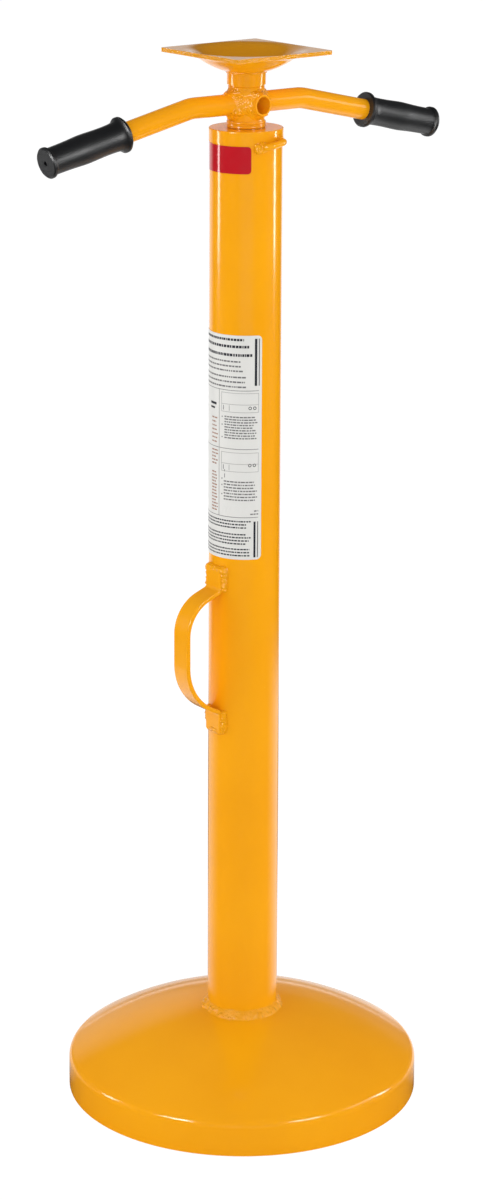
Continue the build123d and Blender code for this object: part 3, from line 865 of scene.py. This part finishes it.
printPlan = {
    "lift": 0.02 * mm,
    "ink": 0.03 * mm,
    "steps": 3,  # along a bar
    "seed": 21,
    "shortest": 1.8,  # bar of a row
    "gap": (0.8, 1.4),  # between two bars of a row
    "lineStep": 3,
    # ink, from, to, drops, height, longest bar, and by how much the ends are ragged, if at all
    "rows": [
        ("inkDark", 107, 232, (4.6,), 2.5, 5.0, None),
        ("inkDark", 107, 240, (12.0,), 2.8, 5.0, None),
        ("inkDark", 107, 245, (21.0,), 2.9, 5.0, None),
        ("inkGrey", 101, 231, (28.0, 33.0, 38.0), 1.7, 7.0, 8.0),
        ("inkGrey", 101, 238, (44.6, 49.8, 55.0), 1.7, 7.0, 8.0),
        ("inkGrey", 200, 255, np.arange(87.5, 113, 2.85), 1.35, 7.0, 8.0),
        ("inkGrey", 199, 256, np.arange(157.6, 178, 3.25), 1.4, 7.0, 8.0),
        ("inkGrey", 249, 256, (189.0,), 1.4, 7.0, None),
        ("inkGrey", 243, 256, (192.4,), 1.4, 7.0, None),
        ("inkRust", 171, 187, np.arange(91.0, 117, 4.3), 1.5, 7.0, 5.0),
        ("inkRust", 171, 187, np.arange(126.0, 143, 3.6), 1.5, 7.0, 5.0),
        ("inkRust", 171, 187, np.arange(150.0, 192, 3.4), 1.5, 7.0, 5.0),
        ("inkDark", 106, 244, (200.4, 203.8, 207.2), 1.5, 5.0, 8.0),
        ("inkDark", 106, 244, (214.6, 218.0, 221.4, 224.8), 1.5, 5.0, 8.0),
        ("inkDark", 106, 244, (230.8, 234.2, 237.6), 1.5, 5.0, 8.0),
    ],
    # ink, from, to, drop of the middle, height
    "bars": [
        ("inkDark", 249.1, 253.0, 28.55, 50.3),
        ("inkGrey", 255.6, 257.4, 28.55, 50.3),
        ("inkDark", 248.3, 251.6, 220.05, 39.1),
        ("inkGrey", 254.2, 256.0, 220.05, 39.1),
        ("inkGrey", 189.0, 189.8, 127.5, 137.0),
        ("inkGrey", 197.5, 198.7, 78.0, 5.0),
        ("inkPale", 208.0, 209.0, 78.0, 6.0),
        ("inkGrey", 197.5, 198.7, 142.2, 5.0),
        ("inkPale", 208.0, 209.0, 142.2, 6.0),
        ("inkGrey", 200.0, 201.2, 146.0, 2.4),
        ("inkGrey", 200.0, 201.2, 151.6, 4.4),
        ("inkDark", 167, 183, 75.6, 2.6),
        ("inkDark", 167, 179, 80.4, 2.0),
    ],
    "dots": ("inkDark", 194.6, 196.2, (88.0, 96.5, 110.0, 155.0, 162.0, 172.0), 1.3),
    "lines": [
        ("inkGrey", 101, 256, 59.0, 0.6),
        ("inkGrey", 101, 256, 196.0, 0.6),
        ("inkGrey", 101, 256, 122.0, 0.6),
        ("inkPale", 194, 256, 74.0, 0.5),
        ("inkPale", 194, 256, 138.2, 0.5),
    ],
    # ink, from, to, top and bottom drops, thickness of the lines
    "boxes": [("inkPale", 194, 256, 61.8, 82.3, 0.5), ("inkPale", 194, 256, 126.0, 146.5, 0.5)],
    "rings": [(242.0, 77.6), (249.4, 77.6), (241.8, 139.3), (249.2, 139.3)],
    "ringRadius": 1.8 * mm,
    "ringWall": 0.75 * mm,
    "ringSteps": 28,
}


# Bars of ink bent round the film: each is a box from angle a to b and height c to d, cut into
# steps along the arc, with an inner and an outer face
def barShell(p, bars):
    bars, steps = np.array(bars, float), p["steps"]
    share = np.linspace(0, 1, steps + 1)
    angle = np.radians(bars[:, 0, None] + (bars[:, 1] - bars[:, 0])[:, None] * share)
    inner = filmRadius + p["lift"]
    outer = inner + p["ink"]
    corners = []
    for radius, row in ((inner, 2), (inner, 3), (outer, 3), (outer, 2)):
        height = np.broadcast_to(bars[:, row, None], angle.shape)
        corners.append(np.stack([radius * np.cos(angle), radius * np.sin(angle), height], -1))
    points = np.stack(corners, 2)
    quads = gridQuads(steps + 1, 4, closeColumns=True)
    ends = np.array([[0, 1, 2, 3], [4 * steps + 3, 4 * steps + 2, 4 * steps + 1, 4 * steps]])
    one = np.vstack([quads, ends])
    every = one[None] + (np.arange(len(bars)) * 4 * (steps + 1))[:, None, None]
    return points.reshape(-1, 3), every.reshape(-1, 4)


# Rings of ink round a point of the film: a square section carried round a circle
def ringShell(p):
    steps, size = p["ringSteps"], p["ringRadius"]
    turn = np.linspace(0, 2 * math.pi, steps, endpoint=False)
    hole = size - p["ringWall"]
    parts = []
    for azimuth, drop in p["rings"]:
        corners = []
        for lift, reach in ((0, hole), (0, size), (1, size), (1, hole)):
            radius = filmRadius + p["lift"] + lift * p["ink"]
            angle = math.radians(azimuth) + reach * np.cos(turn) / radius
            z = labelHigh[2] - drop * mm + reach * np.sin(turn)
            corners.append(np.stack([radius * np.cos(angle), radius * np.sin(angle), z], -1))
        points = np.stack(corners, 1).reshape(-1, 3)
        parts.append((points, gridQuads(steps, 4, closeRows=True, closeColumns=True)))
    return joined(parts)


labelBars = {name: [] for name in inkLook}
chance = np.random.default_rng(printPlan["seed"])


def addBar(ink, a, b, drop, tall):
    middle = labelHigh[2] - drop * mm
    labelBars[ink].append((a, b, middle - tall * mm / 2, middle + tall * mm / 2))


# One row of generic print: bars of uneven length with small gaps, from angle a to b
def addRow(ink, a, b, drop, tall, longest):
    at = a
    while at < b - 1.0:
        length = min(chance.uniform(printPlan["shortest"], longest), b - at)
        addBar(ink, at, at + length, drop, tall)
        at += length + chance.uniform(*printPlan["gap"])


# A long line is cut into bars of a few degrees, which keep to the film's round
def addLine(ink, a, b, drop, tall):
    cuts = np.linspace(a, b, math.ceil((b - a) / printPlan["lineStep"]) + 1)
    for first, last in zip(cuts[:-1], cuts[1:]):
        addBar(ink, first, last, drop, tall)


def addBox(ink, a, b, top, bottom, thick):
    wide = math.degrees(thick * mm / filmRadius)
    addLine(ink, a, b, top, thick)
    addLine(ink, a, b, bottom, thick)
    addBar(ink, a, a + wide, (top + bottom) / 2, bottom - top)
    addBar(ink, b - wide, b, (top + bottom) / 2, bottom - top)


def planLabel(p):
    for ink, a, b, drops, tall, longest, ragged in p["rows"]:
        for drop in drops:
            end = b - chance.uniform(0, ragged) if ragged else b
            addRow(ink, a, end, drop, tall, longest)
    for bar in p["bars"]:
        addBar(*bar)
    ink, a, b, drops, tall = p["dots"]
    for drop in drops:
        addBar(ink, a, b, drop, tall)
    for line in p["lines"]:
        addLine(*line)
    for box in p["boxes"]:
        addBox(*box)


planLabel(printPlan)
print("label bars:", sum(len(bars) for bars in labelBars.values()))
for ink, bars in labelBars.items():
    shells = [barShell(printPlan, bars)]
    if ink == "inkDark":
        shells.append(ringShell(printPlan))
    addPiece("print" + ink[3:], shells, inks[ink], "stand")

# Room: floor, world and lamps


# A level direction, turned from the camera's side of the column towards the camera's right: 90 is
# right, 180 is straight behind and 270 is left
def levelDirection(turn):
    angle = math.radians(camera["azimuth"] + turn)
    return math.cos(angle), math.sin(angle), 0


room = {
    "floorSize": 30.0,
    "floorShade": hue(0.80, 0.80, 0.80),
    "cameraShare": 0.90,
    "cameraShine": 1.08,
    "glowTurn": 197,  # degrees: a soft light patch low on the left, behind
    "glowTilt": (0.97, 0.243),  # level and upward parts of its direction
    "sweepTurn": 192,  # degrees: the middle of the white sweep behind
}

# The floor as glossy surfaces see it. Between the first two numbers a factor goes from the third
# to the fourth: by the distance from the column, or by how squarely a place lies in front, to the
# right or before the sweep.
floorSheen = {
    "start": (0.17, 0.21, 0.0, 1.0),  # distance
    "end": (1.75, 1.25, 0.0, 1.0),  # distance
    "aside": (0.1, -0.45, 0.05, 1.0),  # in front
    "level": (-0.6, 0.6, 0.95, 1.25),  # to the right
    "rear": (-0.8, -0.95, 1.0, 0.12),  # in front
    "close": (0.8, 0.5, 0.0, 0.7),  # distance
    "far": (0.9, 1.6, 0.0, 1.0),  # distance
    "sweep": (0.66, 0.9, 0.0, 1.15),  # before the sweep
}
# The world, in the same way: by how far a direction turns to the front, by how high it points, or
# by how close it comes to the glow's middle. The last is what matt surfaces see, horizon to zenith.
worldSheen = {
    "side": (0.5, -0.3, 0.03, 0.06),  # to the front
    "back": (-0.3, -0.85, 0.0, 0.20),  # to the front
    "low": (0.33, 0.15, 0.0, 1.0),  # high
    "glow": (0.935, 0.995, 0.0, 0.45),  # to the glow
    "matt": (0.0, 0.9, 0.70, 0.53),  # high
}
eased = "SMOOTHSTEP"


# Steps of the room's trees: each takes outputs of nodes, or numbers, and gives its own output
def feed(tree, made, given):
    for entry, value in given.items():
        if isinstance(value, bpy.types.NodeSocket):
            tree.links.new(value, made.inputs[entry])
        else:
            made.inputs[entry].default_value = value
    return made.outputs


def worked(tree, operation, first, second):
    made = addNode(tree, "ShaderNodeMath", operation=operation)
    return feed(tree, made, {0: first, 1: second})[0]


def ranged(tree, source, limits, easing="LINEAR"):
    made = addNode(tree, "ShaderNodeMapRange", interpolation_type=easing)
    return feed(tree, made, {0: source, **dict(zip((1, 2, 3, 4), limits))})[0]


def facing(tree, source, direction):
    made = addNode(tree, "ShaderNodeVectorMath", operation="DOT_PRODUCT")
    return feed(tree, made, {0: source, 1: direction})["Value"]


def blended(tree, share, first, second):
    made = addNode(tree, "ShaderNodeMix", data_type="FLOAT")
    return feed(tree, made, {0: share, 2: first, 3: second})[0]


def glowing(tree, kind, strength):
    made = addNode(tree, kind, {"Color": hue(1, 1, 1)})
    return feed(tree, made, {"Strength": strength})[0]


# Floor: white to the camera but for the object's shadow. Glossy surfaces see it dark in front, and
# bright beside the object from the base's rim out to about 1.5. Straight behind it is dim, but for
# what is close, and further out there it rises into a white sweep.
def addFloor(r, sheen):
    half = r["floorSize"] / 2
    mesh = bpy.data.meshes.new("floor")
    corners = [(-half, -half, 0), (half, -half, 0), (half, half, 0), (-half, half, 0)]
    mesh.from_pydata(corners, [], [(0, 1, 2, 3)])
    floor = bpy.data.objects.new("floor", mesh)
    bpy.context.scene.collection.objects.link(floor)
    material = bpy.data.materials.new("floorWhite")
    material.use_nodes = True
    tree = material.node_tree
    tree.nodes.clear()
    rays = addNode(tree, "ShaderNodeLightPath").outputs
    place = addNode(tree, "ShaderNodeTexCoord").outputs["Object"]
    length = addNode(tree, "ShaderNodeVectorMath", operation="LENGTH")
    distance = feed(tree, length, {0: place})["Value"]
    toward = feed(tree, addNode(tree, "ShaderNodeVectorMath", operation="NORMALIZE"), {0: place})[0]
    front = facing(tree, toward, levelDirection(0))
    right = facing(tree, toward, levelDirection(90))
    behind = facing(tree, toward, levelDirection(r["sweepTurn"]))
    start, end = (ranged(tree, distance, sheen[key], eased) for key in ("start", "end"))
    aside, rear = (ranged(tree, front, sheen[key]) for key in ("aside", "rear"))
    level, close = ranged(tree, right, sheen["level"]), ranged(tree, distance, sheen["close"])
    sweep = ranged(tree, behind, sheen["sweep"], eased)
    far = ranged(tree, distance, sheen["far"], eased)
    near = worked(tree, "MULTIPLY", start, end)
    near = worked(tree, "MULTIPLY", near, worked(tree, "MULTIPLY", aside, level))
    near = worked(tree, "MULTIPLY", near, worked(tree, "MAXIMUM", rear, close))
    shine = worked(tree, "MAXIMUM", near, worked(tree, "MULTIPLY", sweep, far))
    share = worked(tree, "MULTIPLY", rays["Is Camera Ray"], r["cameraShare"])
    matt = addNode(tree, "ShaderNodeBsdfDiffuse", {"Color": r["floorShade"]}).outputs[0]
    bright = glowing(tree, "ShaderNodeEmission", r["cameraShine"])
    gloss = glowing(tree, "ShaderNodeEmission", shine)
    mix = feed(tree, addNode(tree, "ShaderNodeMixShader"), {0: share, 1: matt, 2: bright})[0]
    mixGloss = addNode(tree, "ShaderNodeMixShader")
    surface = feed(tree, mixGloss, {0: rays["Is Glossy Ray"], 1: mix, 2: gloss})[0]
    feed(tree, addNode(tree, "ShaderNodeOutputMaterial"), {"Surface": surface})
    mesh.materials.append(material)


# World: white to the camera, a plain level to matt surfaces, and dim with a few lighter parts to
# glossy ones
def addWorld(r, sheen):
    world = bpy.data.worlds.new("studio")
    bpy.context.scene.world = world
    world.use_nodes = True
    tree = world.node_tree
    tree.nodes.clear()
    rays = addNode(tree, "ShaderNodeLightPath").outputs
    place = addNode(tree, "ShaderNodeTexCoord").outputs["Generated"]
    height = feed(tree, addNode(tree, "ShaderNodeSeparateXYZ"), {0: place})["Z"]
    front = facing(tree, place, levelDirection(0))
    side, back = (ranged(tree, front, sheen[key]) for key in ("side", "back"))
    low = ranged(tree, height, sheen["low"], eased)
    gloss = worked(tree, "MAXIMUM", side, worked(tree, "MULTIPLY", back, low))
    level, upward = r["glowTilt"]
    x, y, _ = levelDirection(r["glowTurn"])
    toGlow = facing(tree, place, (level * x, level * y, upward))
    gloss = worked(tree, "MAXIMUM", gloss, ranged(tree, toGlow, sheen["glow"], eased))
    matt = ranged(tree, height, sheen["matt"])
    chosen = blended(tree, rays["Is Glossy Ray"], matt, gloss)
    clear = worked(tree, "MAXIMUM", rays["Is Camera Ray"], rays["Is Transmission Ray"])
    strength = blended(tree, clear, chosen, r["cameraShine"])
    surface = glowing(tree, "ShaderNodeBackground", strength)
    feed(tree, addNode(tree, "ShaderNodeOutputWorld"), {"Surface": surface})


# Azimuths are from the camera's, reach is the distance from the column, and the spread is in
# degrees. The fills and the canopy light matt colour only, the others only make shine. The canopy
# lies flat over the base, with the dished plate above it.
strip = {"reach": 2.0, "low": 0.55, "high": 1.3, "wide": 0.27}
frontPair = {"reach": 2.0, "low": 1.06, "high": 1.6, "wide": 0.7}
fillPair = {"reach": 2.2, "low": 0.05, "high": 1.15, "wide": 1.8, "shine": 2.5}
lamps = {
    "leftStrip": {"azimuth": -94, "shine": 12.0, **strip},
    "rightStrip": {"azimuth": 103, "shine": 13.5, **strip},
    "leftFront": {"azimuth": -44, "shine": 27.0, **frontPair},
    "rightFront": {"azimuth": 44, "shine": 17.0, **frontPair},
    "rightSoft": {"azimuth": 92, "reach": 2.2, "low": 1.25, "high": 1.9, "wide": 1.4, "shine": 2.6},
    "backCard": {
        "azimuth": 180,
        "reach": 3.0,
        "low": 1.2,
        "high": 2.0,
        "wide": 3.0,
        "shine": 0.026,
        "spread": 36,
    },
    "fillFront": {"azimuth": 4, "reach": 3.2, "low": 0.1, "high": 1.4, "wide": 2.4, "shine": 2.1},
    "fillLow": {"azimuth": 0, "reach": 1.8, "low": 0.1, "high": 0.6, "wide": 1.6, "shine": 1.3},
    "fillTop": {"azimuth": 0, "reach": 1.2, "low": 1.1, "high": 1.4, "wide": 0.9, "shine": 0.9},
    "fillLeft": {"azimuth": -95, **fillPair},
    "fillRight": {"azimuth": 95, **fillPair},
    "fillBack": {"azimuth": 180, "reach": 2.6, "low": 0.2, "high": 1.0, "wide": 2.6, "shine": 3.0},
}
canopy = {"height": 1.1, "side": 3.0, "shine": 0.27}


# A lamp's power is its shine times pi times its area
def lightPanel(name, wide, tall, shine, spread=180):
    data = bpy.data.lights.new(name, "AREA")
    data.shape = "RECTANGLE"
    data.size, data.size_y = wide, tall
    data.energy = shine * math.pi * wide * tall
    data.spread = math.radians(spread)
    item = bpy.data.objects.new(name, data)
    item.visible_camera = False
    item.visible_glossy = "fill" not in name and name != "canopy"
    item.visible_diffuse = not item.visible_glossy
    bpy.context.scene.collection.objects.link(item)
    return item


# An upright lamp faces the column
def addLamp(name, lamp):
    tall = lamp["high"] - lamp["low"]
    item = lightPanel(name, lamp["wide"], tall, lamp["shine"], lamp.get("spread", 180))
    angle = math.radians(camera["azimuth"] + lamp["azimuth"])
    height = lamp["low"] + tall / 2
    spot = Vector((lamp["reach"] * math.cos(angle), lamp["reach"] * math.sin(angle), height))
    item.location = spot
    item.rotation_mode = "QUATERNION"
    item.rotation_quaternion = Vector((-spot.x, -spot.y, 0)).to_track_quat("-Z", "Y")


addFloor(room, floorSheen)
addWorld(room, worldSheen)
for lampName, lamp in lamps.items():
    addLamp(lampName, lamp)
panel = lightPanel("canopy", canopy["side"], canopy["side"], canopy["shine"])
panel.location = (0, 0, canopy["height"])
bpy.context.scene.view_settings.view_transform = "Standard"
print("room: floor, world and", len(lamps) + 1, "lamps")
